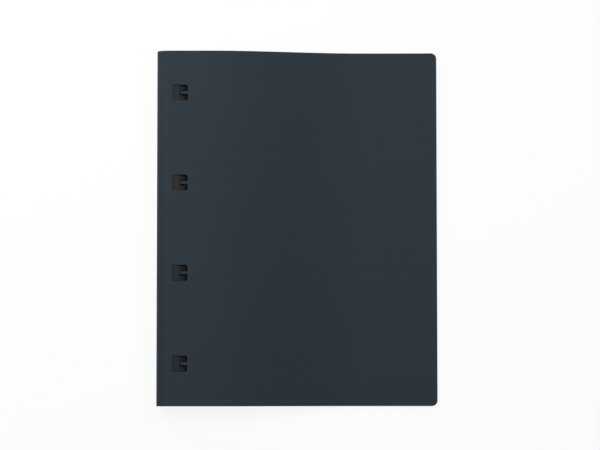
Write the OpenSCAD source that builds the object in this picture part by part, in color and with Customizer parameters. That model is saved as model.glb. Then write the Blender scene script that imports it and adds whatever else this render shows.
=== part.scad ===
// Strip binder for punched A4 sheets: one plastic cover sheet folded round a narrow spine,
// a stiff strip under its front panel, and four gated rings. Each ring's foot stands in a window
// of the cover, hooks over the strip's spine-side edge and is locked there by a sprung tongue.
// X runs from the spine to the free edge, Y along the spine and Z up from the resting face.

/* [Cover] */
// Width from the spine to the free edge
cover_w = 249; // [239:1:260]
// Height along the spine
cover_h = 315; // [306:1:326]
// Thickness of the plastic sheet
sheet_t = 1.0; // [0.8:0.1:1.0]
// Radius of the two free corners
corner_r = 5; // [2:0.5:12]
// Distance from the spine over which the cover rounds over
shoulder_u = 12; // [11:0.5:12.5]
// Height over which the cover rounds over
shoulder_z = 8.5; // [7.5:0.5:9]
// Distance from the spine at which the front panel starts to fall
fall_start = 45; // [45:1:60]
// Width of the free margin over which the front panel lies on the back panel
margin_w = 64; // [56:1:74]
// Height by which the free edge lifts again
edge_lift = 0.9; // [0:0.1:2]
// Length over which the free edge lifts
lift_len = 50; // [30:1:55]

/* [Windows] */
// Distance between neighbouring rings
ring_pitch = 80; // [76:1:84]
// Distance from the spine to a window
window_u = 14; // [13.5:0.1:14.5]
// Width of a window across the cover
window_w = 13.6; // [13.2:0.1:14.4]
// Height of a window along the spine
window_h = 14.1; // [12:0.1:18]
// Radius of a window's two free corners
window_r = 1.8; // [0.5:0.1:2]
// Width of the lock tongue
tongue_w = 2.4; // [1.8:0.1:3]
// Length of the lock tongue inside the window
tongue_len = 6.1; // [5.6:0.1:6.3]

/* [Strip] */
// Width of the stiffening strip
strip_w = 24; // [22:0.5:30]
// Length of the stiffening strip
strip_len = 292; // [270:1:300]
// Thickness of the stiffening strip
strip_t = 1.2; // [1.0:0.1:1.4]

/* [Rings] */
// Outer radius of a ring, which sets the thickness of the closed binder
ring_r = 8.3; // [7.8:0.05:9.5]
// Thickness of the ring band
band_t = 1.9; // [1.7:0.1:2]
// Width of the ring band along the spine
band_w = 4.5; // [4:0.1:5]
// Radius of a gate pin
pin_r = 0.9; // [0.7:0.05:0.95]

/* [Hidden] */
$fn = 48;
arc_fn = 96;
ring_count = 4;

// Colours of the cover, the moulded rings and the pins
cover_grey = [0.19, 0.22, 0.25];
ring_black = [0.09, 0.09, 0.10];
pin_grey = [0.16, 0.16, 0.17];

// Clearances: between moving bodies, between the two panels, of a pin in its knuckle,
// round a foot inside its window, and under a ring
gap = 0.3;
panel_gap = 0.4;
running_fit = 0.05;
foot_room = 0.15;
ring_room = 0.5;
// Extra length of a cut past the faces it goes through
cut_over = 1;
// Depth to which pieces of one moulding run into each other
join_lap = 0.5;

// The foot of a ring: its length across the cover, the depths of its sloping top at both ends, the
// flange under the strip, the lip in the strip's pocket and the catch that meets the tongue
foot_len = 6.6;
foot_sunk = [0.6, 1.9];
flange_t = 2.2;
flange_lap = 1.7;
lip_len = 8;
lip_t = 0.5;
lip_lap = 1.2;
lip_room = 0.08;
catch_t = 0.8;
catch_len = 3.2;
catch_sunk = 0.5;

// Height of the cover over the rings, and of its top face where it lies on the back panel
cover_top = 2 * sheet_t + ring_room + 2 * ring_r + flange_t - join_lap + strip_t;
rest_top = 2 * sheet_t + panel_gap;
inner_top = cover_top - sheet_t;
// Heights of the two creases, which run along the middle of the sheet
crease_low = shoulder_z;
crease_high = cover_top - shoulder_z;
crease_u = sheet_t / 2;
crease_cut_r = crease_u + gap;
// Distances from the spine at which the front panel comes to lie on the back panel, and at which
// its free edge starts to lift
fall_end = cover_w - margin_w;
lift_start = cover_w - lift_len;
// Straight steps that make up each curve of the sheet
shoulder_steps = 12;
fall_steps = 28;
lift_steps = 5;
slope_step = 0.01;

// Middles of the four windows along the spine
ring_ys = [for (i = [0:ring_count - 1]) ((ring_count - 1) / 2 - i) * ring_pitch];
// Axis of a tongue, whose room in the sheet runs a little into the window
root_lap = 0.2;
tongue_axis_u = window_u + window_w + crease_cut_r - root_lap;
tongue_axis_z = cover_top - sheet_t / 2;

// Width of a foot along the spine, which fills its window
foot_w = window_h - 2 * foot_room;

// Underside of the strip, and the slot in it, which leaves the tongue free to be pressed in
strip_u = 12;
strip_low = inner_top - strip_t;
slot_over = 2;
slot_w = window_w + slot_over;

// Ring circle, with angles from the +X side towards +Z
ring_u = 20.8;
ring_z = sheet_t + ring_room + ring_r;
ring_in = ring_r - band_t;
ring_mid = ring_r - band_t / 2;
hook_start = 95;
hook_end = 322;
gate_top = 42;
lap_angle = 7;
lap_gap = 2.3;
lap_room = 0.15;
pivot_angle = 48;
pivot_u = ring_u + ring_mid * cos(pivot_angle);
pivot_z = ring_z + ring_mid * sin(pivot_angle);
knuckle_wall = 1;
knuckle_r = pin_r + knuckle_wall;
pin_sunk = 0.2;

// An ear: its room beside the gate, its root under the foot, and the corners of its arm, which
// ends inside the knuckle
ear_gap = 0.25;
ear_w = (foot_w - band_w) / 2 - ear_gap;
ear_sunk = 1.8;
ear_root_t = 2.2;
ear_root_u = [ring_u - 4.5, ring_u - 0.2];
arm_over = [0.7, 1.72];
arm_under = [-0.7, -1];
ear_top = strip_low - flange_t + ear_sunk;

// The web between the ears, which passes under the pressed tongue and clear of the gate
web_t = 1;
web_sunk = 0.65;
web_run = [2.6, -1.35];

// Place of a distance from the spine's outer face
function at_x(u) = u - cover_w / 2;
function unit(v) = v / norm(v);

// Outer face of a rounded shoulder at an angle, from its crease to its flat
function shoulder_point(a) = [shoulder_u * (1 - cos(a)), shoulder_z * sin(a)];
function shoulder_normal(a) = unit([-cos(a) / shoulder_u, sin(a) / shoulder_z]);

// Height of the front panel's top face past the shoulder: level, an S-curve down, a lifted edge
function fall_part(u) = max(0, min(1, (u - fall_start) / (fall_end - fall_start)));
function lift_part(u) = max(0, (u - lift_start) / lift_len);
function panel_z(u) =
    cover_top - (cover_top - rest_top) * (1 - cos(180 * fall_part(u))) / 2
    + edge_lift * pow(lift_part(u), 2);
function panel_slope(u) = (panel_z(u + slope_step) - panel_z(u - slope_step)) / (2 * slope_step);
function panel_normal(u) = unit([-panel_slope(u), 1]);

// Distances from the spine at which the front panel's outline has a point
panel_us = concat(
    [for (i = [0:fall_steps]) fall_start + (fall_end - fall_start) * i / fall_steps],
    [for (i = [0:lift_steps]) lift_start + lift_len * i / lift_steps]
);
shoulder_angles = [for (i = [0:shoulder_steps]) 90 * i / shoulder_steps];

// Outlines of the sheet, seen along the spine, outer face first
front_outer = concat(
    [for (a = shoulder_angles) [0, crease_high] + shoulder_point(a)],
    [for (u = panel_us) [u, panel_z(u)]]
);
front_normals = concat(
    [for (a = shoulder_angles) shoulder_normal(a)],
    [for (u = panel_us) panel_normal(u)]
);
back_outer = [for (a = shoulder_angles) [shoulder_point(a)[0], crease_low - shoulder_point(a)[1]]];
back_normals = [for (a = shoulder_angles) [shoulder_normal(a)[0], -shoulder_normal(a)[1]]];

module sheet_outline(outer, normals) {
    last = len(outer) - 1;
    inner = [for (i = [last:-1:0]) outer[i] - sheet_t * normals[i]];
    polygon(concat(outer, inner));
}

// A shape drawn in distance from the spine and height, run along the spine
module along_spine(length, y = 0) {
    translate([at_x(0), y + length / 2, 0]) rotate([90, 0, 0]) linear_extrude(length) children();
}

// A block given by its distances from the spine, its heights and its middle and length along the spine
module block(u, z, y, length) {
    translate([at_x(u[0]), y - length / 2, z[0]]) cube([u[1] - u[0], length, z[1] - z[0]]);
}

// A round bar along the spine
module bar(u, z, r, y, length) {
    along_spine(length, y) translate([u, z]) circle(r);
}

// Plan of a panel with its two free corners rounded
module plan() {
    straight_h = cover_h - 2 * corner_r;
    translate([at_x(0), -cover_h / 2]) square([cover_w - corner_r, cover_h]);
    translate([at_x(0), -straight_h / 2]) square([cover_w, straight_h]);
    for (side = [-1, 1]) translate([at_x(cover_w - corner_r), side * straight_h / 2]) circle(corner_r);
}

// A window through the sheet, with its two corners at the tongue's side rounded
module window_cut(width, y) {
    straight_h = window_h - 2 * window_r;
    depth = strip_t + sheet_t + 2 * cut_over;
    translate([at_x(window_u), y, strip_low - cut_over]) linear_extrude(depth) {
        translate([0, -window_h / 2]) square([width - window_r, window_h]);
        translate([0, -straight_h / 2]) square([width, straight_h]);
        for (side = [-1, 1]) translate([width - window_r, side * straight_h / 2]) circle(window_r);
    }
}

// Room in the front panel for a tongue's root
module tongue_root_cut(y) {
    length = tongue_w + 2 * gap;
    reach = [window_u + window_w - cut_over, tongue_axis_u];
    block(reach, [inner_top - cut_over, cover_top + cut_over], y, length);
    bar(tongue_axis_u, tongue_axis_z, crease_cut_r, y, length);
}

// An arc of the ring between two radii and two angles
module ring_arc(inner, outer, from, to, y, width = band_w) {
    translate([at_x(ring_u), y, ring_z]) rotate([90, 0, 0]) rotate([0, 0, from])
        rotate_extrude(angle = to - from, $fn = arc_fn)
            translate([inner, -width / 2]) square([outer - inner, width]);
}

module back_cover() {
    flat_len = cover_w - shoulder_u + cut_over;
    color(cover_grey) difference() {
        intersection() {
            along_spine(cover_h) union() {
                sheet_outline(back_outer, back_normals);
                translate([shoulder_u, 0]) square([flat_len, sheet_t]);
            }
            translate([0, 0, -cut_over]) linear_extrude(crease_low + 2 * cut_over) plan();
        }
        bar(crease_u, crease_low, crease_cut_r, 0, cover_h + 2 * cut_over);
    }
}

module spine() {
    color(cover_grey) along_spine(cover_h) {
        translate([0, crease_low]) square([sheet_t, crease_high - crease_low]);
        for (z = [crease_low, crease_high]) translate([crease_u, z]) circle(sheet_t / 2);
    }
}

module front_cover() {
    color(cover_grey) difference() {
        intersection() {
            along_spine(cover_h) sheet_outline(front_outer, front_normals);
            linear_extrude(cover_top + cut_over) plan();
        }
        bar(crease_u, crease_high, crease_cut_r, 0, cover_h + 2 * cut_over);
        for (y = ring_ys) {
            window_cut(window_w, y);
            tongue_root_cut(y);
        }
    }
}

// Room in the strip for the lip of a foot
module lip_pocket(y) {
    depth = lip_t + 2 * lip_room;
    reach = [window_u - lip_lap - lip_room, window_u + cut_over];
    block(reach, [inner_top - depth, inner_top + cut_over], y, lip_len + 2 * lip_room);
}

module binding_strip() {
    color(ring_black) difference() {
        block([strip_u, strip_u + strip_w], [strip_low, inner_top], 0, strip_len);
        for (y = ring_ys) {
            window_cut(slot_w, y);
            lip_pocket(y);
        }
    }
}

// One ear that carries a gate pin, as wide as the foot leaves room for beside the gate
module ear(y) {
    pivot = [pivot_u, pivot_z];
    along_spine(ear_w, y) difference() {
        union() {
            polygon([
                [ear_root_u[0], ear_top],
                [ear_root_u[1], ear_top],
                pivot + arm_over,
                pivot + arm_under,
                [ear_root_u[0], ear_top - ear_root_t]
            ]);
            translate(pivot) circle(knuckle_r);
        }
        translate(pivot) circle(pin_r);
    }
}

// The web that joins the two ears of a ring
module ear_web(y) {
    start = [ear_root_u[1], ear_top - web_sunk];
    end = start + web_run;
    along_spine(band_w + 2 * (ear_gap + join_lap), y) polygon([
        [ear_root_u[0], start[1]],
        start,
        end,
        end - [0, web_t],
        [ear_root_u[0], start[1] - web_t]
    ]);
}

// The fixed part of a ring, with the outer half of its end cut away for the gate's lap
module hook(y) {
    lap_end = hook_end + lap_angle;
    cut_w = band_w + 2 * cut_over;
    difference() {
        ring_arc(ring_in, ring_r, hook_start, lap_end, y);
        ring_arc(ring_mid - lap_room, ring_r + cut_over, hook_end, lap_end + lap_gap, y, cut_w);
    }
}

module ring_seat(y) {
    foot = [window_u + foot_room, window_u + foot_room + foot_len];
    foot_low = strip_low - join_lap;
    lip_top = inner_top - lip_room;
    color(ring_black) union() {
        along_spine(foot_w, y) polygon([
            [foot[0], foot_low],
            [foot[0], cover_top - foot_sunk[0]],
            [foot[1], cover_top - foot_sunk[1]],
            [foot[1], foot_low]
        ]);
        block([foot[1] - catch_t, foot[1]], [foot_low, cover_top - catch_sunk], y, catch_len);
        block([window_u - lip_lap, foot[0] + join_lap], [lip_top - lip_t, lip_top], y, lip_len);
        block([window_u - flange_lap, foot[1]], [strip_low - flange_t, strip_low], y, foot_w);
        hook(y);
        for (side = [-1, 1]) ear(y + side * (foot_w - ear_w) / 2);
        ear_web(y);
    }
}

module ring_gate(y) {
    tip = hook_end - 360 + lap_gap;
    cut_w = band_w + 2 * cut_over;
    color(ring_black) difference() {
        union() {
            ring_arc(ring_in, ring_r, tip, gate_top, y);
            bar(pivot_u, pivot_z, knuckle_r, y, band_w);
        }
        ring_arc(ring_in - cut_over, ring_mid + lap_room, tip - lap_gap, tip + lap_angle, y, cut_w);
        bar(pivot_u, pivot_z, pin_r + running_fit, y, cut_w);
    }
}

module gate_pin(y) {
    color(pin_grey) bar(pivot_u, pivot_z, pin_r, y, foot_w - 2 * pin_sunk);
}

module lock_tongue(y) {
    tip_u = window_u + window_w - tongue_len;
    color(cover_grey) union() {
        block([tip_u, tongue_axis_u], [inner_top, cover_top], y, tongue_w);
        bar(tongue_axis_u, tongue_axis_z, sheet_t / 2, y, tongue_w);
    }
}

back_cover();
spine();
front_cover();
binding_strip();
for (i = [0:ring_count - 1]) {
    ring_seat(ring_ys[i]);
    ring_gate(ring_ys[i]);
    gate_pin(ring_ys[i]);
    lock_tongue(ring_ys[i]);
}
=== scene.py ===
"""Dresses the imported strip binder: its folded cover sheet, stiffening strip and four gated rings.

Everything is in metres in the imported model's frame: X runs from the spine to the free edge,
Y along the spine and Z up. Sizes inside the classes are millimetres, as in the part's source.
"""

import logging
import math
from abc import ABC, abstractmethod
from bisect import bisect_left
from dataclasses import dataclass, field
from enum import Enum
from functools import partial
from typing import Callable, Optional, Union

import bmesh
import bpy
from bmesh.types import BMFace, BMesh
from bpy.types import ID, Material, Mesh, Node, NodeSocket, NodeTree, Object
from mathutils import Euler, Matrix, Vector


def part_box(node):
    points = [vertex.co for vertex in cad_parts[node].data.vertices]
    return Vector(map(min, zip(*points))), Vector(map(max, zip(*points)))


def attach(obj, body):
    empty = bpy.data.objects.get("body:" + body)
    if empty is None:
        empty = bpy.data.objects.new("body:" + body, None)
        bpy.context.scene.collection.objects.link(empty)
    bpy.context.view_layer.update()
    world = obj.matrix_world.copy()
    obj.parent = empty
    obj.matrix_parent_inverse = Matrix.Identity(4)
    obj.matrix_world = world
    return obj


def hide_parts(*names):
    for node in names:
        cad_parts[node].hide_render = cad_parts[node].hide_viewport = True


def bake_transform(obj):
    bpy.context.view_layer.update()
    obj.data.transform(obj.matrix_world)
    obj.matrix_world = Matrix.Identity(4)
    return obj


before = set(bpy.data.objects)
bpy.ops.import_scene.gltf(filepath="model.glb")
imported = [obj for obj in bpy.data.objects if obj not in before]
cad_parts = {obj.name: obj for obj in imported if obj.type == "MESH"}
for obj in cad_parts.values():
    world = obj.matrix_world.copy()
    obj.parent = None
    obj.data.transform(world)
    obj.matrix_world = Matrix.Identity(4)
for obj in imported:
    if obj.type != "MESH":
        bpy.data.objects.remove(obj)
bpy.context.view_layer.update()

log = logging.getLogger("strip_binder")

MM = 0.001
EPS = 1e-6
# A face lies flat if this much of its normal points up or down
FLAT = 0.999
# Steps across the softened edge of a cut plate
EDGE_STEPS = 1
# How strongly large faces hold the shading of their softened edges, out of 100
LARGE_FACE_WEIGHT = 100
RING_NUMBERS = (1, 2, 3, 4)

Colour = tuple[float, float, float, float]
Point2 = tuple[float, float]
Place3 = tuple[float, float, float]
Loop2 = list[Point2]
Key = Union[int, str]
Source = Union[Node, NodeSocket]
Adder = Callable[..., Node]


def linear(code: str) -> Colour:
    """Turns an sRGB hex value into linear RGBA.

    Args:
        code: The colour as six hex digits after a hash.

    Returns:
        Red, green, blue and alpha in linear light.
    """
    shares = [int(code[i : i + 2], 16) / 255 for i in (1, 3, 5)]
    # The curve of the sRGB standard
    red, green, blue = (c / 12.92 if c <= 0.04045 else ((c + 0.055) / 1.055) ** 2.4 for c in shares)
    return red, green, blue, 1.0


def per_metre(size_mm: float) -> float:
    """Gives the texture scale at which one feature is size_mm across."""
    return 1.0 / (size_mm * MM)


def add_node(
    tree: NodeTree,
    kind: str,
    settings: Optional[dict[str, object]] = None,
    values: Optional[dict[Key, object]] = None,
    links: Optional[dict[Key, Source]] = None,
) -> Node:
    """Adds a node with its settings, its constant inputs and its links.

    Args:
        tree: The tree that takes the node.
        kind: The node's type name.
        settings: Attributes of the node, set first because they may change its sockets.
        values: Constants by input name or place.
        links: Sources by input name or place. A node stands for its first output.

    Returns:
        The new node.
    """
    node = tree.nodes.new(kind)
    for name, value in (settings or {}).items():
        setattr(node, name, value)
    for key, value in (values or {}).items():
        node.inputs[key].default_value = value
    for key, source in (links or {}).items():
        output = source.outputs[0] if isinstance(source, Node) else source
        tree.links.new(output, node.inputs[key])
    return node


class Leaf(Enum):
    """The two halves of the cover sheet, either side of the middle of the spine."""

    FRONT = "front"
    BACK = "back"

    @property
    def side(self) -> float:
        """The sign that turns the path's left-hand normal to the sheet's outer face."""
        return 1.0 if self is Leaf.FRONT else -1.0


@dataclass(frozen=True)
class Patterns:
    """The nodes that carry a finish's patterns over a surface."""

    shade: Node
    gloss: Node
    relief: Node


@dataclass(frozen=True)
class Finish(ABC):
    """What every finish has: two close shades, a range of roughness and a relief.

    A span is the stretch of a pattern's values that goes from one shade or roughness to the
    other, because noise seldom reaches 0 or 1.
    """

    name: str
    light: str
    dark: str
    rough_low: float
    rough_high: float
    depth_mm: float
    bump_strength: float = 0.8
    shade_span: Point2 = (0.3, 0.7)
    gloss_span: Point2 = (0.3, 0.7)
    # The shader's own defaults, which a metal keeps for these two
    ior: float = 1.5
    specular: float = 0.5
    metallic: float = 0.0

    @abstractmethod
    def patterns(self, add: Adder, place: NodeSocket) -> Patterns:
        """Lays the finish's patterns over a surface.

        Args:
            add: Adds a node to the material's tree.
            place: The surface's Object coordinates.

        Returns:
            The patterns.
        """

    def make(self) -> Material:
        """Builds the material.

        Returns:
            The finished material.
        """
        material = bpy.data.materials.new(self.name)
        material.use_nodes = True
        tree = material.node_tree
        add = partial(add_node, tree)
        shader = tree.nodes["Principled BSDF"]
        fixed = {"IOR": self.ior, "Specular IOR Level": self.specular, "Metallic": self.metallic}
        for socket, value in fixed.items():
            shader.inputs[socket].default_value = value
        laid = self.patterns(add, add("ShaderNodeTexCoord").outputs["Object"])
        colour = add("ShaderNodeValToRGB", links={"Fac": laid.shade})
        shades = zip(colour.color_ramp.elements, self.shade_span, (self.dark, self.light))
        for stop, position, code in shades:
            stop.position = position
            stop.color = linear(code)
        low, high = self.gloss_span
        gloss = add(
            "ShaderNodeMapRange",
            values={1: low, 2: high, 3: self.rough_low, 4: self.rough_high},
            links={0: laid.gloss},
        )
        bump = add(
            "ShaderNodeBump",
            values={"Strength": self.bump_strength, "Distance": self.depth_mm * MM},
            links={"Height": laid.relief},
        )
        for socket, node in {"Base Color": colour, "Roughness": gloss, "Normal": bump}.items():
            tree.links.new(node.outputs[0], shader.inputs[socket])
        return material


@dataclass(frozen=True)
class EmbossedSheet(Finish):
    """Polypropylene sheet, extruded and then embossed by a sand-grained roller.

    The roller's grain scatters the light, so the sheet looks matt and even. A close look shows
    the grain, a slow drift in gloss from the cooling rolls and faint marks along the run, which
    goes across the cover and round its spine.
    """

    name: str = "PP_sheet_extruded_sand_embossed"
    light: str = "#262f37"
    dark: str = "#222b33"
    rough_low: float = 0.485
    rough_high: float = 0.535
    depth_mm: float = 0.16
    bump_strength: float = 1.0
    shade_span: Point2 = (0.35, 0.65)
    ior: float = 1.49
    specular: float = 0.1
    # The real grain is about 0.2 mm; it is drawn coarser so that it shows in a close view
    grain_mm: float = 0.55
    grain_detail: float = 3.0
    grain_roughness: float = 0.6
    grain_share: float = 0.4
    drift_mm: float = 45.0
    line_mm: float = 3.0
    line_stretch: float = 0.012
    line_share: float = 0.6
    slow_detail: float = 2.0

    def patterns(self, add: Adder, place: NodeSocket) -> Patterns:
        """Lays the grain, the drift and the marks of the run over the sheet.

        Args:
            add: Adds a node to the material's tree.
            place: The surface's Object coordinates.

        Returns:
            The patterns.
        """
        grain = add(
            "ShaderNodeTexNoise",
            values={
                "Scale": per_metre(self.grain_mm),
                "Detail": self.grain_detail,
                "Roughness": self.grain_roughness,
            },
            links={"Vector": place},
        )
        drift = add(
            "ShaderNodeTexNoise",
            values={"Scale": per_metre(self.drift_mm), "Detail": self.slow_detail},
            links={"Vector": place},
        )
        run = add(
            "ShaderNodeMapping",
            values={"Scale": (self.line_stretch, 1.0, self.line_stretch)},
            links={"Vector": place},
        )
        lines = add(
            "ShaderNodeTexNoise",
            values={"Scale": per_metre(self.line_mm), "Detail": self.slow_detail},
            links={"Vector": run},
        )
        slow = add(
            "ShaderNodeMix", {"data_type": "FLOAT"}, {0: self.line_share},
            {2: drift, 3: lines},
        )
        tint = add(
            "ShaderNodeMix", {"data_type": "FLOAT"}, {0: self.grain_share},
            {2: slow, 3: grain},
        )
        return Patterns(tint, slow, grain)


@dataclass(frozen=True)
class StreakedFinish(Finish):
    """A finish whose shade, gloss and relief all follow fine marks, drawn out in one direction."""

    mark_mm: float = 0.4
    mark_detail: float = 2.0
    stretch: Place3 = (1.0, 1.0, 1.0)

    def patterns(self, add: Adder, place: NodeSocket) -> Patterns:
        """Lays the drawn-out marks over a surface.

        Args:
            add: Adds a node to the material's tree.
            place: The surface's Object coordinates.

        Returns:
            The patterns.
        """
        drawn = add("ShaderNodeMapping", values={"Scale": self.stretch}, links={"Vector": place})
        marks = add(
            "ShaderNodeTexNoise",
            values={"Scale": per_metre(self.mark_mm), "Detail": self.mark_detail},
            links={"Vector": drawn},
        )
        return Patterns(marks, marks, marks)


@dataclass(frozen=True)
class DieCutEdge(StreakedFinish):
    """The edge that a steel rule leaves on polypropylene sheet.

    The rule shears a smooth band and then tears the rest, so the edge is a little paler and
    glossier than the embossed face, with fine marks across its thickness.
    """

    name: str = "PP_sheet_die_cut_edge"
    light: str = "#343d45"
    dark: str = "#283139"
    rough_low: float = 0.34
    rough_high: float = 0.5
    depth_mm: float = 0.06
    shade_span: Point2 = (0.35, 0.7)
    ior: float = 1.49
    specular: float = 0.15
    stretch: Place3 = (1.0, 1.0, 0.15)


@dataclass(frozen=True)
class ExtrudedStrip(StreakedFinish):
    """Polypropylene strip, extruded through a flat die and left smooth.

    The die draws fine lines along the strip, so it has a soft gloss that is streaked lengthwise.
    """

    name: str = "PP_strip_extruded_smooth"
    light: str = "#1b1d1f"
    dark: str = "#151718"
    rough_low: float = 0.3
    rough_high: float = 0.44
    depth_mm: float = 0.05
    ior: float = 1.49
    specular: float = 0.2
    mark_mm: float = 0.7
    mark_detail: float = 3.0
    stretch: Place3 = (1.0, 0.012, 1.0)


@dataclass(frozen=True)
class MouldedRing(Finish):
    """Nylon, injection moulded in a spark-eroded tool.

    The tool's fine pitting gives a satin black with a broken highlight, a touch glossier where
    the plastic met the tool hardest.
    """

    name: str = "PA_moulded_spark_eroded_satin"
    light: str = "#1e2022"
    dark: str = "#181a1b"
    rough_low: float = 0.36
    rough_high: float = 0.52
    depth_mm: float = 0.022
    gloss_span: Point2 = (0.25, 0.75)
    ior: float = 1.53
    specular: float = 0.12
    # Spark-eroded pits are under 0.1 mm; they are drawn coarser so that they show close up
    pit_mm: float = 0.22
    pit_smoothness: float = 0.4
    flow_mm: float = 5.0
    flow_detail: float = 3.0

    def patterns(self, add: Adder, place: NodeSocket) -> Patterns:
        """Lays the pits and the slow change from the plastic's flow over the ring.

        Args:
            add: Adds a node to the material's tree.
            place: The surface's Object coordinates.

        Returns:
            The patterns.
        """
        pits = add(
            "ShaderNodeTexVoronoi", {"feature": "SMOOTH_F1"},
            {"Scale": per_metre(self.pit_mm), "Smoothness": self.pit_smoothness},
            {"Vector": place},
        )
        flow = add(
            "ShaderNodeTexNoise",
            values={"Scale": per_metre(self.flow_mm), "Detail": self.flow_detail},
            links={"Vector": place},
        )
        return Patterns(flow, flow, pits)


@dataclass(frozen=True)
class DrawnWire(StreakedFinish):
    """Steel wire, drawn, blackened against rust and cut to length.

    The die leaves fine lines along the wire and the blackening dulls them, so it has a dark,
    soft sheen that is streaked lengthwise.
    """

    name: str = "steel_wire_drawn_blackened"
    light: str = "#4b4c4e"
    dark: str = "#37383a"
    rough_low: float = 0.34
    rough_high: float = 0.5
    depth_mm: float = 0.01
    metallic: float = 1.0
    mark_mm: float = 0.12
    stretch: Place3 = (1.0, 0.03, 1.0)


@dataclass(frozen=True)
class Finishes:
    """The materials of the whole binder, made once."""

    sheet: Material = field(default_factory=EmbossedSheet().make)
    cut_edge: Material = field(default_factory=DieCutEdge().make)
    strip: Material = field(default_factory=ExtrudedStrip().make)
    ring: Material = field(default_factory=MouldedRing().make)
    pin: Material = field(default_factory=DrawnWire().make)


def shown(name: str, data: ID) -> Object:
    """Puts a mesh, curve, lamp or camera in the scene, at the origin.

    Args:
        name: The object's name.
        data: What it shows.

    Returns:
        The new object.
    """
    data.name = name
    thing = bpy.data.objects.new(name, data)
    bpy.context.scene.collection.objects.link(thing)
    return thing


def as_object(name: str, solid: BMesh, smooth: bool) -> Object:
    """Puts a bmesh in the scene as an object at the origin, and frees it.

    Args:
        name: The object's name.
        solid: The bmesh.
        smooth: Whether its faces are shaded smooth.

    Returns:
        The new object.
    """
    for face in solid.faces:
        face.smooth = smooth
    mesh = bpy.data.meshes.new(name)
    solid.to_mesh(mesh)
    solid.free()
    return shown(name, mesh)


def plain_mesh(holder: Object) -> Mesh:
    """Turns an object with its modifiers into a plain mesh and removes the object.

    Args:
        holder: The object to evaluate.

    Returns:
        The evaluated mesh.
    """
    graph = bpy.context.evaluated_depsgraph_get()
    mesh = bpy.data.meshes.new_from_object(
        holder.evaluated_get(graph), preserve_all_data_layers=True, depsgraph=graph
    )
    bpy.data.objects.remove(holder)
    return mesh


def arc(middle: Point2, radius: float, start: float, end: float, steps: int) -> Loop2:
    """Points of an arc.

    Args:
        middle: The arc's middle.
        radius: Its radius.
        start: The first angle in degrees.
        end: The last angle in degrees.
        steps: How many straight steps it has.

    Returns:
        The points, both ends among them.
    """
    angles = [math.radians(start + (end - start) * i / steps) for i in range(steps + 1)]
    return [(middle[0] + radius * math.cos(a), middle[1] + radius * math.sin(a)) for a in angles]


def mirrored(upper: Loop2) -> Loop2:
    """Closes a loop with the mirror image of its upper half."""
    return upper + [(a, -b) for a, b in reversed(upper)]


def cut_plate(name: str, loops: list[Loop2], thick: float, edge_r: float) -> BMesh:
    """Cuts a flat plate with softened edges from an outline and its holes.

    Args:
        name: A name for the curve that is cut along.
        loops: The outline and then its holes, in millimetres.
        thick: The plate's thickness in millimetres.
        edge_r: The radius of its softened edges in millimetres.

    Returns:
        The plate in metres, with its top face at height 0.
    """
    rule = bpy.data.curves.new(name, "CURVE")
    rule.dimensions = "2D"
    rule.fill_mode = "BOTH"
    rule.extrude = (thick / 2 - edge_r) * MM
    rule.bevel_depth = edge_r * MM
    rule.bevel_resolution = EDGE_STEPS
    rule.offset = -edge_r * MM
    for loop in loops:
        spline = rule.splines.new("POLY")
        spline.points.add(len(loop) - 1)
        for point, (across, along) in zip(spline.points, loop):
            point.co = (across * MM, along * MM, 0.0, 1.0)
        spline.use_cyclic_u = True
    mesh = plain_mesh(shown(name, rule))
    bpy.data.curves.remove(rule)
    plate = bmesh.new()
    plate.from_mesh(mesh)
    bpy.data.meshes.remove(mesh)
    bmesh.ops.remove_doubles(plate, verts=plate.verts, dist=EPS)
    bmesh.ops.translate(plate, vec=(0.0, 0.0, -thick / 2 * MM), verts=plate.verts)
    bmesh.ops.recalc_face_normals(plate, faces=plate.faces)
    return plate


def cut_across(plate: BMesh, line: float, clear_before: bool) -> None:
    """Cuts straight across a flat plate.

    Args:
        plate: The plate.
        line: The distance along it in metres.
        clear_before: Whether the plate before the cut is taken away.
    """
    everything = plate.verts[:] + plate.edges[:] + plate.faces[:]
    bmesh.ops.bisect_plane(
        plate, geom=everything, dist=EPS, plane_co=(line, 0.0, 0.0), plane_no=(1.0, 0.0, 0.0),
        clear_inner=clear_before,
    )


def rule_lines(plate: BMesh, lines: list[float]) -> None:
    """Cuts lines across a flat plate and clears every other edge from its flat faces.

    Args:
        plate: The plate.
        lines: The distances in metres at which it will bend.
    """
    for line in lines:
        cut_across(plate, line, clear_before=False)
    plate.normal_update()
    spare = [
        e for e in plate.edges
        if len(e.link_faces) == 2
        and all(abs(f.normal.z) > FLAT for f in e.link_faces)
        and abs(e.verts[0].co.x - e.verts[1].co.x) > EPS
    ]
    bmesh.ops.dissolve_edges(plate, edges=spare, use_verts=False, use_face_split=False)
    loose = []
    for vert in plate.verts:
        if len(vert.link_edges) == 2:
            first, second = (e.other_vert(vert).co - vert.co for e in vert.link_edges)
            if first.cross(second).length < EPS * first.length:
                loose.append(vert)
    bmesh.ops.dissolve_verts(plate, verts=loose)


def close_cuts(plate: BMesh) -> None:
    """Caps the open ends that a cut leaves on a plate."""
    open_edges = [e for e in plate.edges if e.is_boundary]
    bmesh.ops.holes_fill(plate, edges=open_edges, sides=0)
    bmesh.ops.recalc_face_normals(plate, faces=plate.faces)


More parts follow.
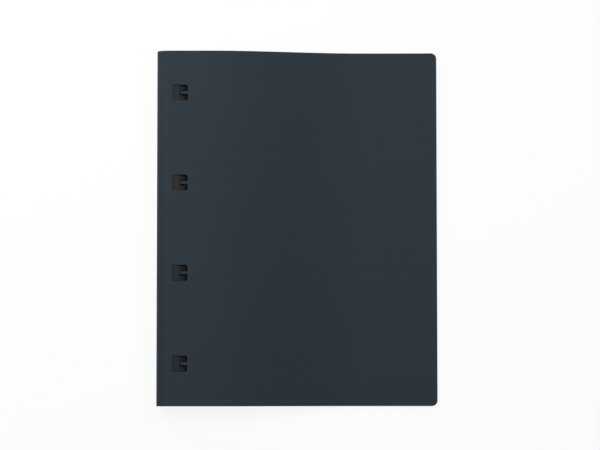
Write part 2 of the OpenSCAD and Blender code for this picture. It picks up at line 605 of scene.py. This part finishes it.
@dataclass(frozen=True)
class SheetSizes:
    """Sizes of the folded cover sheet in millimetres."""

    width: float = 249.0
    height: float = 315.0
    thick: float = 1.0
    edge_r: float = 0.12
    corner_r: float = 5.0
    shoulder_u: float = 12.0
    shoulder_z: float = 8.5
    top: float = 22.0
    rest: float = 2.4
    fall_start: float = 45.0
    fall_end: float = 185.0
    lift_len: float = 50.0
    edge_lift: float = 0.9
    end_trim: float = 0.05
    ring_pitch: float = 80.0
    window_u: float = 14.0
    window_w: float = 13.6
    window_h: float = 14.1
    window_r: float = 1.8
    tongue_w: float = 2.4
    tongue_len: float = 6.1
    tongue_tip_r: float = 0.4
    tongue_root_r: float = 0.3
    tongue_split: float = 0.6
    score_depth: float = 0.4
    score_half: float = 0.6

    @property
    def ring_ys(self) -> list[float]:
        """Middles of the four windows along the spine."""
        half = (len(RING_NUMBERS) - 1) / 2
        return [(half - i) * self.ring_pitch for i in range(len(RING_NUMBERS))]

    def panel_z(self, u: float) -> float:
        """Height of the front panel's outer face.

        Args:
            u: Distance from the spine, past the shoulder.

        Returns:
            The height above the resting face.
        """
        fall = min(1.0, max(0.0, (u - self.fall_start) / (self.fall_end - self.fall_start)))
        lift = max(0.0, (u - self.width + self.lift_len) / self.lift_len)
        drop = (self.top - self.rest) * (1 - math.cos(math.pi * fall)) / 2
        return self.top - drop + self.edge_lift * lift**2


@dataclass
class LeafPath:
    """The outer face of one half of the sheet, seen along the spine, from mid-spine outwards.

    Distances along it are millimetres from the middle of the spine.
    """

    sizes: SheetSizes
    leaf: Leaf
    shoulder_steps: int = 160
    panel_step: float = 0.5
    points: list[Point2] = field(init=False)
    lengths: list[float] = field(init=False)

    def __post_init__(self) -> None:
        """Works out the path's points and their distances along it."""
        s = self.sizes
        crease = s.top - s.shoulder_z
        upper: list[Point2] = [(0.0, s.top / 2), (0.0, crease)]
        for i in range(1, self.shoulder_steps + 1):
            a = math.pi / 2 * i / self.shoulder_steps
            upper.append((s.shoulder_u * (1 - math.cos(a)), crease + s.shoulder_z * math.sin(a)))
        count = round((s.width - s.shoulder_u) / self.panel_step)
        for i in range(1, count + 1):
            u = s.shoulder_u + (s.width - s.shoulder_u) * i / count
            upper.append((u, s.panel_z(u) if self.leaf is Leaf.FRONT else s.top))
        flip = self.leaf is Leaf.BACK
        self.points = [(u, s.top - z if flip else z) for u, z in upper]
        self.lengths = [0.0]
        for (u0, z0), (u1, z1) in zip(self.points, self.points[1:]):
            self.lengths.append(self.lengths[-1] + math.hypot(u1 - u0, z1 - z0))

    @property
    def crease(self) -> float:
        """Distance along the path to the crease."""
        return self.lengths[1]

    @property
    def level(self) -> float:
        """Distance along the path to the end of the shoulder."""
        return self.lengths[1 + self.shoulder_steps]

    def along(self, u: float) -> float:
        """Distance along the path to a place on the panel.

        Args:
            u: Distance from the spine, past the shoulder.

        Returns:
            The distance along the path.
        """
        us = [p[0] for p in self.points]
        i = max(1, min(bisect_left(us, u), len(us) - 1))
        share = (u - us[i - 1]) / (us[i] - us[i - 1])
        return self.lengths[i - 1] + share * (self.lengths[i] - self.lengths[i - 1])

    def curve(self) -> Object:
        """Makes the path as a curve object in metres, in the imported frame.

        Returns:
            The curve object, in the scene until the sheet is bent.
        """
        data = bpy.data.curves.new(f"{self.leaf.value}_path", "CURVE")
        data.dimensions = "3D"
        spline = data.splines.new("POLY")
        spline.points.add(len(self.points) - 1)
        for point, (u, z) in zip(spline.points, self.points):
            point.co = ((u - self.sizes.width / 2) * MM, 0.0, z * MM, 1.0)
        return shown(data.name, data)


def new_tree(name: str, inputs: dict[str, str]) -> NodeTree:
    """Starts a Geometry Nodes tree that takes a geometry and gives one back.

    Args:
        name: The tree's name.
        inputs: Types of its other input sockets by name.

    Returns:
        The tree, without nodes.
    """
    tree = bpy.data.node_groups.new(name, "GeometryNodeTree")
    for socket, kind in {"Geometry": "NodeSocketGeometry", **inputs}.items():
        tree.interface.new_socket(socket, in_out="INPUT", socket_type=kind)
    tree.interface.new_socket("Geometry", in_out="OUTPUT", socket_type="NodeSocketGeometry")
    return tree


def bending_tree(sheet: Material, cut_edge: Material) -> NodeTree:
    """Makes the tree that bends a flat blank along a path.

    A blank's X is the distance along the path, its Y stays and its height becomes the distance
    from the path along the outward normal.

    Args:
        sheet: The material of the faces.
        cut_edge: The material of the faces that the blank marks as cut_edge.

    Returns:
        The tree, with the inputs Path and Side.
    """
    inputs = {"Path": "NodeSocketObject", "Side": "NodeSocketFloat"}
    tree = new_tree("bend_blank_along_path", inputs)
    add = partial(add_node, tree)
    given = add("NodeGroupInput")
    flat = add("ShaderNodeSeparateXYZ", links={0: add("GeometryNodeInputPosition")})
    path = add("GeometryNodeObjectInfo", links={"Object": given.outputs["Path"]})
    spot = add(
        "GeometryNodeSampleCurve", {"mode": "LENGTH", "use_all_curves": True},
        links={"Curves": path.outputs["Geometry"], "Length": flat.outputs["X"]},
    )
    normal = add(
        "ShaderNodeVectorMath", {"operation": "CROSS_PRODUCT"}, {1: (0.0, 1.0, 0.0)},
        {0: spot.outputs["Tangent"]},
    )
    out = add(
        "ShaderNodeMath", {"operation": "MULTIPLY"},
        links={0: flat.outputs["Z"], 1: given.outputs["Side"]},
    )
    lifted = add("ShaderNodeVectorMath", {"operation": "SCALE"}, links={0: normal, "Scale": out})
    along_spine = add("ShaderNodeCombineXYZ", links={"Y": flat.outputs["Y"]})
    bent = add(
        "ShaderNodeVectorMath", {"operation": "ADD"},
        links={0: spot.outputs["Position"], 1: lifted},
    )
    place = add("ShaderNodeVectorMath", {"operation": "ADD"}, links={0: bent, 1: along_spine})
    moved = add(
        "GeometryNodeSetPosition",
        links={"Geometry": given.outputs["Geometry"], "Position": place},
    )
    whole = add("GeometryNodeRealizeInstances", links={"Geometry": moved})
    dressed = add("GeometryNodeSetMaterial", values={"Material": sheet}, links={"Geometry": whole})
    marked = add("GeometryNodeInputNamedAttribute", {"data_type": "BOOLEAN"}, {"Name": "cut_edge"})
    edged = add(
        "GeometryNodeSetMaterial", values={"Material": cut_edge},
        links={"Geometry": dressed, "Selection": marked.outputs["Attribute"]},
    )
    add("NodeGroupOutput", links={"Geometry": edged})
    return tree


def row_tree(material: Material) -> NodeTree:
    """Makes the tree that repeats a piece along the spine, one for each ring.

    Args:
        material: The material of the repeated pieces.

    Returns:
        The tree, with the inputs Count and Pitch.
    """
    inputs = {"Count": "NodeSocketInt", "Pitch": "NodeSocketFloat"}
    tree = new_tree(f"ring_row_{material.name}", inputs)
    add = partial(add_node, tree)
    given = add("NodeGroupInput")
    back = add("ShaderNodeMath", {"operation": "MULTIPLY"}, {1: -1.0}, {0: given.outputs["Pitch"]})
    step = add("ShaderNodeCombineXYZ", links={"Y": back})
    line = add(
        "GeometryNodeMeshLine", {"mode": "OFFSET", "count_mode": "TOTAL"},
        links={"Count": given.outputs["Count"], "Offset": step},
    )
    placed = add(
        "GeometryNodeInstanceOnPoints",
        links={"Points": line, "Instance": given.outputs["Geometry"]},
    )
    whole = add("GeometryNodeRealizeInstances", links={"Geometry": placed})
    dressed = add(
        "GeometryNodeSetMaterial", values={"Material": material},
        links={"Geometry": whole},
    )
    add("NodeGroupOutput", links={"Geometry": dressed})
    return tree


def run_tree(holder: Object, tree: NodeTree, inputs: dict[str, object]) -> None:
    """Gives an object a Geometry Nodes modifier with its inputs set.

    Args:
        holder: The object that takes the modifier.
        tree: The tree.
        inputs: Values by input name.
    """
    modifier = holder.modifiers.new(tree.name, "NODES")
    modifier.node_group = tree
    for item in tree.interface.items_tree:
        if item.name in inputs:
            modifier[item.identifier] = inputs[item.name]


def finished(name: str, holder: Object, material: Optional[Material] = None) -> Object:
    """Makes a plain piece of an object with modifiers.

    Its large faces keep their flat shading beside their softened edges.

    Args:
        name: The piece's name.
        holder: The object, which is removed.
        material: The piece's only material. Without it, those that its tree sets stay.

    Returns:
        The piece.
    """
    steady = holder.modifiers.new("steady_normals", "WEIGHTED_NORMAL")
    steady.keep_sharp = True
    steady.weight = LARGE_FACE_WEIGHT
    mesh = plain_mesh(holder)
    if material:
        mesh.materials.clear()
        mesh.materials.append(material)
    return shown(name, mesh)


@dataclass
class CoverSheet:
    """The wrap-round cover: a die-cut blank, bent round the spine, with four sprung tongues.

    It is made in two halves that meet in the middle of the spine, because each half bends at one
    crease, and its tongues are cut off at their roots, each as a piece of its own.
    """

    finishes: Finishes
    sizes: SheetSizes = field(default_factory=SheetSizes)
    # Half the stretch that turns at a crease, its lean in degrees, and the bend lines over it
    crease_zone: float = 1.2
    crease_lean: float = 75.0
    crease_reach: float = 1.25
    crease_lines: int = 5
    # A face whose normal points up or down by less than this is a cut edge
    edge_upright: float = 0.7
    shoulder_lines: int = 24
    fall_line_step: float = 3.5
    lift_lines: int = 10
    tongue_lines: int = 5
    tongue_bend: float = 1.5
    corner_steps: int = 16
    window_steps: int = 8
    small_steps: int = 4
    seam_over: float = 2.0

    def window_loop(self, path: LeafPath, y: float) -> Loop2:
        """Outline of a window with the tongue that reaches into it.

        Args:
            path: The front half's path.
            y: The window's middle along the spine.

        Returns:
            The loop in distance along the path and along the spine.
        """
        s = self.sizes
        left, right = path.along(s.window_u), path.along(s.window_u + s.window_w)
        half, radius = s.window_h / 2, s.window_r
        half_tongue, tip = s.tongue_w / 2, right - s.tongue_len
        upper: Loop2 = [(left, half)]
        upper += arc((right - radius, half - radius), radius, 90, 0, self.window_steps)
        root = s.tongue_root_r
        upper += arc((right - root, half_tongue + root), root, 0, -90, self.small_steps)
        soft = s.tongue_tip_r
        upper += arc((tip + soft, half_tongue - soft), soft, 90, 180, self.small_steps)
        return [(a, y + b) for a, b in mirrored(upper)]

    def outline(self, path: LeafPath) -> Loop2:
        """Outline of a half, which runs past the seam so that the seam can be cut clean.

        Args:
            path: The half's path.

        Returns:
            The loop in distance along the path and along the spine.
        """
        s = self.sizes
        end, half, radius = path.lengths[-1] - s.end_trim, s.height / 2, s.corner_r
        upper: Loop2 = [(-self.seam_over, half)]
        upper += arc((end - radius, half - radius), radius, 90, 0, self.corner_steps)
        return mirrored(upper)

    def bend_lines(self, path: LeafPath) -> list[float]:
        """Distances along a half's path at which the blank needs an edge to bend.

        Args:
            path: The half's path.

        Returns:
            The distances in millimetres.
        """
        s = self.sizes
        reach, count = self.crease_zone * self.crease_reach, self.crease_lines
        zone = [path.crease + reach * i / count for i in range(-count, count + 1)]
        start = zone[-1]
        lines = zone + [
            start + (path.level - start) * i / self.shoulder_lines
            for i in range(1, self.shoulder_lines + 1)
        ]
        if path.leaf is Leaf.FRONT:
            span = s.fall_end - s.fall_start
            steps = round(span / self.fall_line_step)
            lines += [path.along(s.fall_start + span * i / steps) for i in range(steps + 1)]
            lift = s.width - s.lift_len
            steps = self.lift_lines
            lines += [path.along(lift + s.lift_len * i / steps) for i in range(steps)]
        return lines

    def blank(self, path: LeafPath) -> BMesh:
        """Cuts the flat blank of a half, with its bend lines and its pressed crease.

        Args:
            path: The half's path.

        Returns:
            The blank in metres, its outer face at height 0 and its seam open.
        """
        s = self.sizes
        loops = [self.outline(path)]
        lines = self.bend_lines(path)
        if path.leaf is Leaf.FRONT:
            loops += [self.window_loop(path, y) for y in s.ring_ys]
            lines += [self.split_line(path)]
        plate = cut_plate(f"{path.leaf.value}_blank", loops, s.thick, s.edge_r)
        rule_lines(plate, [line * MM for line in lines])
        cut_across(plate, 0.0, clear_before=True)
        for vert in plate.verts:
            away = abs(vert.co.x - path.crease * MM) / (s.score_half * MM)
            if away < 1.0 and vert.co.z < -s.thick * MM + EPS:
                vert.co.z += s.score_depth * MM * (1.0 - away)
        plate.normal_update()
        return plate

    def split_line(self, path: LeafPath) -> float:
        """Distance along the path at which the tongues are cut off."""
        s = self.sizes
        return path.along(s.window_u + s.window_w - s.tongue_split)

    def in_tongue(self, face: BMFace, path: LeafPath, y: float) -> bool:
        """Says whether a face of the blank belongs to the tongue at y.

        Args:
            face: The face.
            path: The front half's path.
            y: The tongue's middle along the spine.

        Returns:
            True if the tongue takes the face.
        """
        s = self.sizes
        middle = face.calc_center_median() / MM
        split = self.split_line(path)
        in_reach = split - s.tongue_len < middle.x < split
        return in_reach and abs(middle.y - y) < s.tongue_w / 2 + s.edge_r

    def bent(self, name: str, plate: BMesh, path: LeafPath) -> Object:
        """Bends a blank along its path and makes a piece of it.

        Args:
            name: The piece's name.
            plate: The flat blank, which is freed.
            path: The half's path.

        Returns:
            The piece.
        """
        close_cuts(plate)
        plate.normal_update()
        marks = plate.faces.layers.bool.new("cut_edge")
        for face in plate.faces:
            face[marks] = abs(face.normal.z) < self.edge_upright
        if path.leaf is Leaf.BACK:
            # The back half bends the other way, which would leave its faces turned inwards
            bmesh.ops.reverse_faces(plate, faces=plate.faces)
        holder = as_object(f"{name}_flat", plate, smooth=True)
        tree = bending_tree(self.finishes.sheet, self.finishes.cut_edge)
        curve = path.curve()
        run_tree(holder, tree, {"Path": curve, "Side": path.leaf.side})
        piece = finished(name, holder)
        bpy.data.objects.remove(curve)
        return piece

    def build(self) -> list[Object]:
        """Builds both halves and the four tongues.

        Returns:
            The pieces.
        """
        s = self.sizes
        pieces = []
        path = LeafPath(s, Leaf.FRONT)
        blank = self.blank(path)
        split = self.split_line(path)
        bends = [self.tongue_bend * i / self.tongue_lines for i in range(1, self.tongue_lines + 1)]
        for number, y in zip(RING_NUMBERS, s.ring_ys):
            tongue = blank.copy()
            spare = [f for f in tongue.faces if not self.in_tongue(f, path, y)]
            bmesh.ops.delete(tongue, geom=spare, context="FACES")
            rule_lines(tongue, [(split - bend) * MM for bend in bends])
            piece = self.bent(f"sheet_tongue_{number}", tongue, path)
            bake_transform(piece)
            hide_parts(f"lock_tongue_{number}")
            pieces.append(piece)
        taken = [f for f in blank.faces if any(self.in_tongue(f, path, y) for y in s.ring_ys)]
        bmesh.ops.delete(blank, geom=taken, context="FACES")
        front = self.bent("sheet_front", blank, path)
        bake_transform(front)
        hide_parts("front_cover", "spine")
        path = LeafPath(s, Leaf.BACK)
        back = self.bent("sheet_back", self.blank(path), path)
        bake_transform(back)
        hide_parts("back_cover")
        return pieces + [front, back]


@dataclass
class BindingStrip:
    """The stiff strip under the front panel, with a slot for each ring's foot.

    Beside each slot its upper face has a shallow pocket, which takes the lip of the foot.
    """

    finishes: Finishes
    sheet: SheetSizes = field(default_factory=SheetSizes)
    first_u: float = 12.0
    width: float = 24.0
    length: float = 292.0
    thick: float = 1.2
    edge_r: float = 0.15
    corner_r: float = 1.5
    slot_over: float = 2.0
    pocket_u: float = 1.28
    pocket_len: float = 8.16
    pocket_depth: float = 0.66
    pocket_over: float = 1.0
    steps: int = 8

    def loops(self) -> list[Loop2]:
        """Outline of the strip and of its slots.

        Returns:
            The loops, across and along the strip.
        """
        s = self.sheet
        half, radius = self.length / 2, self.corner_r
        near, far = self.first_u - s.width / 2, self.first_u + self.width - s.width / 2
        upper = arc((near + radius, half - radius), radius, 180, 90, self.steps)
        upper += arc((far - radius, half - radius), radius, 90, 0, self.steps)
        loops = [mirrored(upper)]
        slot, left = s.window_r, s.window_u - s.width / 2
        right = left + s.window_w + self.slot_over
        for y in s.ring_ys:
            edge = [(left, s.window_h / 2)]
            edge += arc((right - slot, s.window_h / 2 - slot), slot, 90, 0, self.steps)
            loops.append([(a, y + b) for a, b in mirrored(edge)])
        return loops

    def pockets(self) -> Object:
        """Makes the blocks that cut the pockets for the feet's lips.

        Returns:
            One object with a block for each ring.
        """
        s = self.sheet
        reach = self.pocket_u + self.pocket_over
        tall = self.pocket_depth + self.pocket_over
        middle_x = s.window_u - s.width / 2 + (self.pocket_over - self.pocket_u) / 2
        middle_z = s.top - s.thick + (self.pocket_over - self.pocket_depth) / 2
        blocks = bmesh.new()
        for y in s.ring_ys:
            cube = bmesh.ops.create_cube(blocks, size=MM)["verts"]
            bmesh.ops.scale(blocks, vec=(reach, self.pocket_len, tall), verts=cube)
            bmesh.ops.translate(blocks, vec=Vector((middle_x, y, middle_z)) * MM, verts=cube)
        return as_object("lip_pockets", blocks, smooth=False)

    def build(self) -> list[Object]:
        """Builds the strip on the front panel.

        Returns:
            The one piece.
        """
        plate = cut_plate("strip_plate", self.loops(), self.thick, self.edge_r)
        rise = (self.sheet.top - self.sheet.thick) * MM
        bmesh.ops.translate(plate, vec=(0.0, 0.0, rise), verts=plate.verts)
        holder = as_object("strip_flat", plate, smooth=True)
        pockets = self.pockets()
        cut = holder.modifiers.new("lip_pockets", "BOOLEAN")
        cut.operation = "DIFFERENCE"
        cut.solver = "EXACT"
        cut.object = pockets
        piece = finished("strip", holder, self.finishes.strip)
        bpy.data.objects.remove(pockets)
        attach(piece, "front_cover")
        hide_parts("binding_strip")
        return [piece]


@dataclass
class Rings:
    """The four moulded rings: their seats, their gates and the pins that the gates turn on."""

    finishes: Finishes
    sheet: SheetSizes = field(default_factory=SheetSizes)
    seat_soft: float = 0.14
    gate_soft: float = 0.22
    soft_steps: int = 3
    sharp_angle: float = 35.0
    flat_angle: float = 0.5
    pin_sides: int = 40
    pin_end_r: float = 0.25
    pin_end_steps: int = 5

    def softened(self, node: str, radius: float) -> Object:
        """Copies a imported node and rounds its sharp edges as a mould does.

        Args:
            node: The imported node.
            radius: The edge radius in millimetres.

        Returns:
            An object whose modifiers are still to be evaluated.
        """
        solid = bmesh.new()
        solid.from_mesh(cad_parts[node].data)
        bmesh.ops.remove_doubles(solid, verts=solid.verts, dist=EPS)
        bmesh.ops.dissolve_limit(
            solid, angle_limit=math.radians(self.flat_angle), verts=solid.verts, edges=solid.edges
        )
        holder = as_object(f"{node}_copy", solid, smooth=True)
        bevel = holder.modifiers.new("moulded_edges", "BEVEL")
        bevel.limit_method = "ANGLE"
        bevel.angle_limit = math.radians(self.sharp_angle)
        bevel.width = radius * MM
        bevel.segments = self.soft_steps
        bevel.miter_outer = "MITER_ARC"
        bevel.use_clamp_overlap = True
        return holder

    def repeated(self, name: str, holder: Object, material: Material) -> Object:
        """Repeats a piece that stands at the first ring for all the rings.

        Args:
            name: The name of the finished piece.
            holder: The piece at the first ring.
            material: Its material.

        Returns:
            The finished piece on the front panel.
        """
        inputs = {"Count": len(RING_NUMBERS), "Pitch": self.sheet.ring_pitch * MM}
        run_tree(holder, row_tree(material), inputs)
        piece = finished(name, holder, material)
        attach(piece, "front_cover")
        return piece

    def pin(self) -> Object:
        """Turns one pin with rounded ends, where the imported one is.

        Returns:
            The pin at the first ring.
        """
        low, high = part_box("gate_pin_1")
        middle, radius, half = (low + high) / 2, (high.x - low.x) / 2, (high.y - low.y) / 2
        soft = self.pin_end_r * MM
        quarter = arc((half - soft, radius - soft), soft, 0, 90, self.pin_end_steps)
        profile = quarter + [(-a, b) for a, b in reversed(quarter)]
        turned = bmesh.new()
        rings = []
        for a, b in profile:
            circle = arc((middle.x, middle.z), b, 0, 360, self.pin_sides)[:-1]
            rings.append([turned.verts.new((x, middle.y + a, z)) for x, z in circle])
        for ring, other in zip(rings, rings[1:]):
            for i in range(self.pin_sides):
                turned.faces.new((ring[i - 1], ring[i], other[i], other[i - 1]))
        for end in (rings[0], rings[-1]):
            turned.faces.new(end)
        bmesh.ops.recalc_face_normals(turned, faces=turned.faces)
        return as_object("pin_turned", turned, smooth=True)

    def build(self) -> list[Object]:
        """Builds the seats, pins and gates and hangs them on their bodies.

        Returns:
            The pieces.
        """
        first_seat = self.softened("ring_seat_1", self.seat_soft)
        seats = self.repeated("ring_seats", first_seat, self.finishes.ring)
        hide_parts(*(f"ring_seat_{n}" for n in RING_NUMBERS))
        pins = self.repeated("gate_pins", self.pin(), self.finishes.pin)
        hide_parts(*(f"gate_pin_{n}" for n in RING_NUMBERS))
        pieces = [seats, pins]
        for number in RING_NUMBERS:
            node = f"ring_gate_{number}"
            holder = self.softened(node, self.gate_soft)
            gate = finished(f"gate_{number}", holder, self.finishes.ring)
            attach(gate, node)
            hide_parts(node)
            pieces.append(gate)
        return pieces


class LampShape(Enum):
    """The forms of a studio lamp: a square diffuser, or a glowing ball that lights all round."""

    SQUARE = "AREA"
    BALL = "POINT"


@dataclass(frozen=True)
class SoftLamp:
    """A studio lamp behind a diffuser, aimed at the binder."""

    name: str
    shape: LampShape
    place: Place3
    size: float
    watts: float

    def build(self) -> None:
        """Hangs the lamp, out of sight of a camera that looks its way."""
        data = bpy.data.lights.new(self.name, self.shape.value)
        if self.shape is LampShape.SQUARE:
            data.shape = "SQUARE"
            data.size = self.size
        else:
            data.shadow_soft_size = self.size / 2
        data.energy = self.watts
        lamp = shown(self.name, data)
        lamp.location = self.place
        lamp.rotation_mode = "QUATERNION"
        lamp.rotation_quaternion = (-Vector(self.place)).to_track_quat("-Z", "Y")
        lamp.visible_camera = False


@dataclass
class Studio:
    """The pale floor, the soft light and the camera of the photograph, in metres and watts."""

    floor_half: float = 6.0
    floor_drop: float = 0.0002
    floor_colour: str = "#f0f0f0"
    floor_share: float = 0.12
    sky_colour: str = "#eef1f5"
    sky_strength: float = 0.2
    white: str = "#ffffff"
    lamps: tuple[SoftLamp, ...] = (
        SoftLamp("key_over_left", LampShape.SQUARE, (-0.5, 0.4, 1.5), 1.0, 14.8),
        SoftLamp("fill_top_right", LampShape.SQUARE, (0.8, 0.8, 1.2), 1.0, 9.0),
        SoftLamp("edge_left", LampShape.BALL, (-0.5, 0.5, 0.25), 0.4, 8.4),
    )
    camera_place: Place3 = (0.005324, -0.132478, 2.12325)
    camera_turn: Place3 = (0.06404, 0.00137, -0.00027)
    camera_reach: float = 100.0
    focal_px: float = 2383.2
    image_w: int = 600
    sensor_mm: float = 36.0

    def floor(self) -> None:
        """Lays the floor, white to the camera but with the binder's shadow kept."""
        material = bpy.data.materials.new("studio_floor_matt_white")
        material.use_nodes = True
        tree = material.node_tree
        tree.nodes.clear()
        add = partial(add_node, tree)
        seen = self.seen(add)
        share = add(
            "ShaderNodeMath", {"operation": "MULTIPLY"}, {1: 1 - self.floor_share}, {0: seen}
        )
        paint = add("ShaderNodeBsdfDiffuse", values={"Color": linear(self.floor_colour)})
        glow = add("ShaderNodeEmission", values={"Color": linear(self.white), "Strength": 1.0})
        mix = add("ShaderNodeMixShader", links={0: share, 1: paint, 2: glow})
        add("ShaderNodeOutputMaterial", links={"Surface": mix})
        sheet = bmesh.new()
        bmesh.ops.create_grid(sheet, x_segments=1, y_segments=1, size=self.floor_half)
        bmesh.ops.translate(sheet, vec=(0.0, 0.0, -self.floor_drop), verts=sheet.verts)
        floor = as_object("studio_floor", sheet, smooth=False)
        floor.data.materials.append(material)

    def seen(self, add: Adder) -> Node:
        """Gives 1 where the camera, a mirror image or a clear piece looks straight at a surface.

        Args:
            add: Adds a node to the tree that needs to know.

        Returns:
            The node that says so.
        """
        light = add("ShaderNodeLightPath")
        first = add(
            "ShaderNodeMath", {"operation": "MAXIMUM"},
            links={0: light.outputs["Is Camera Ray"], 1: light.outputs["Is Glossy Ray"]},
        )
        return add(
            "ShaderNodeMath", {"operation": "MAXIMUM"},
            links={0: first, 1: light.outputs["Is Transmission Ray"]},
        )

    def sky(self) -> None:
        """Lights the scene from all round, and shows white behind the floor's edge."""
        world = bpy.data.worlds.new("studio_sky")
        world.use_nodes = True
        tree = world.node_tree
        tree.nodes.clear()
        add = partial(add_node, tree)
        light = add(
            "ShaderNodeBackground",
            values={"Color": linear(self.sky_colour), "Strength": self.sky_strength},
        )
        white = add("ShaderNodeBackground", values={"Color": linear(self.white), "Strength": 1.0})
        mix = add("ShaderNodeMixShader", links={0: self.seen(add), 1: light, 2: white})
        add("ShaderNodeOutputWorld", links={"Surface": mix})
        bpy.context.scene.world = world

    def camera(self) -> None:
        """Sets up the camera where the photograph's outline puts it."""
        data = bpy.data.cameras.new("photo_camera")
        data.sensor_fit = "HORIZONTAL"
        data.sensor_width = self.sensor_mm
        data.lens = self.focal_px * self.sensor_mm / self.image_w
        data.clip_end = self.camera_reach
        camera = shown("photo_camera", data)
        camera.location = self.camera_place
        camera.rotation_euler = Euler(self.camera_turn, "XYZ")
        bpy.context.scene.camera = camera

    def build(self) -> None:
        """Builds the floor, the lamps, the sky and the camera."""
        self.floor()
        for lamp in self.lamps:
            lamp.build()
        self.sky()
        self.camera()
        bpy.context.scene.view_settings.view_transform = "Standard"


def triangles(piece: Object) -> int:
    """Counts a piece's triangles."""
    piece.data.calc_loop_triangles()
    return len(piece.data.loop_triangles)


def main() -> None:
    """Builds the binder and its studio, and reports each piece."""
    logging.basicConfig(level=logging.INFO, format="%(name)s: %(message)s")
    finishes = Finishes()
    for assembly in (CoverSheet(finishes), BindingStrip(finishes), Rings(finishes)):
        for piece in assembly.build():
            log.info("%s: %d triangles", piece.name, triangles(piece))
    Studio().build()


if __name__ == "__main__":
    main()
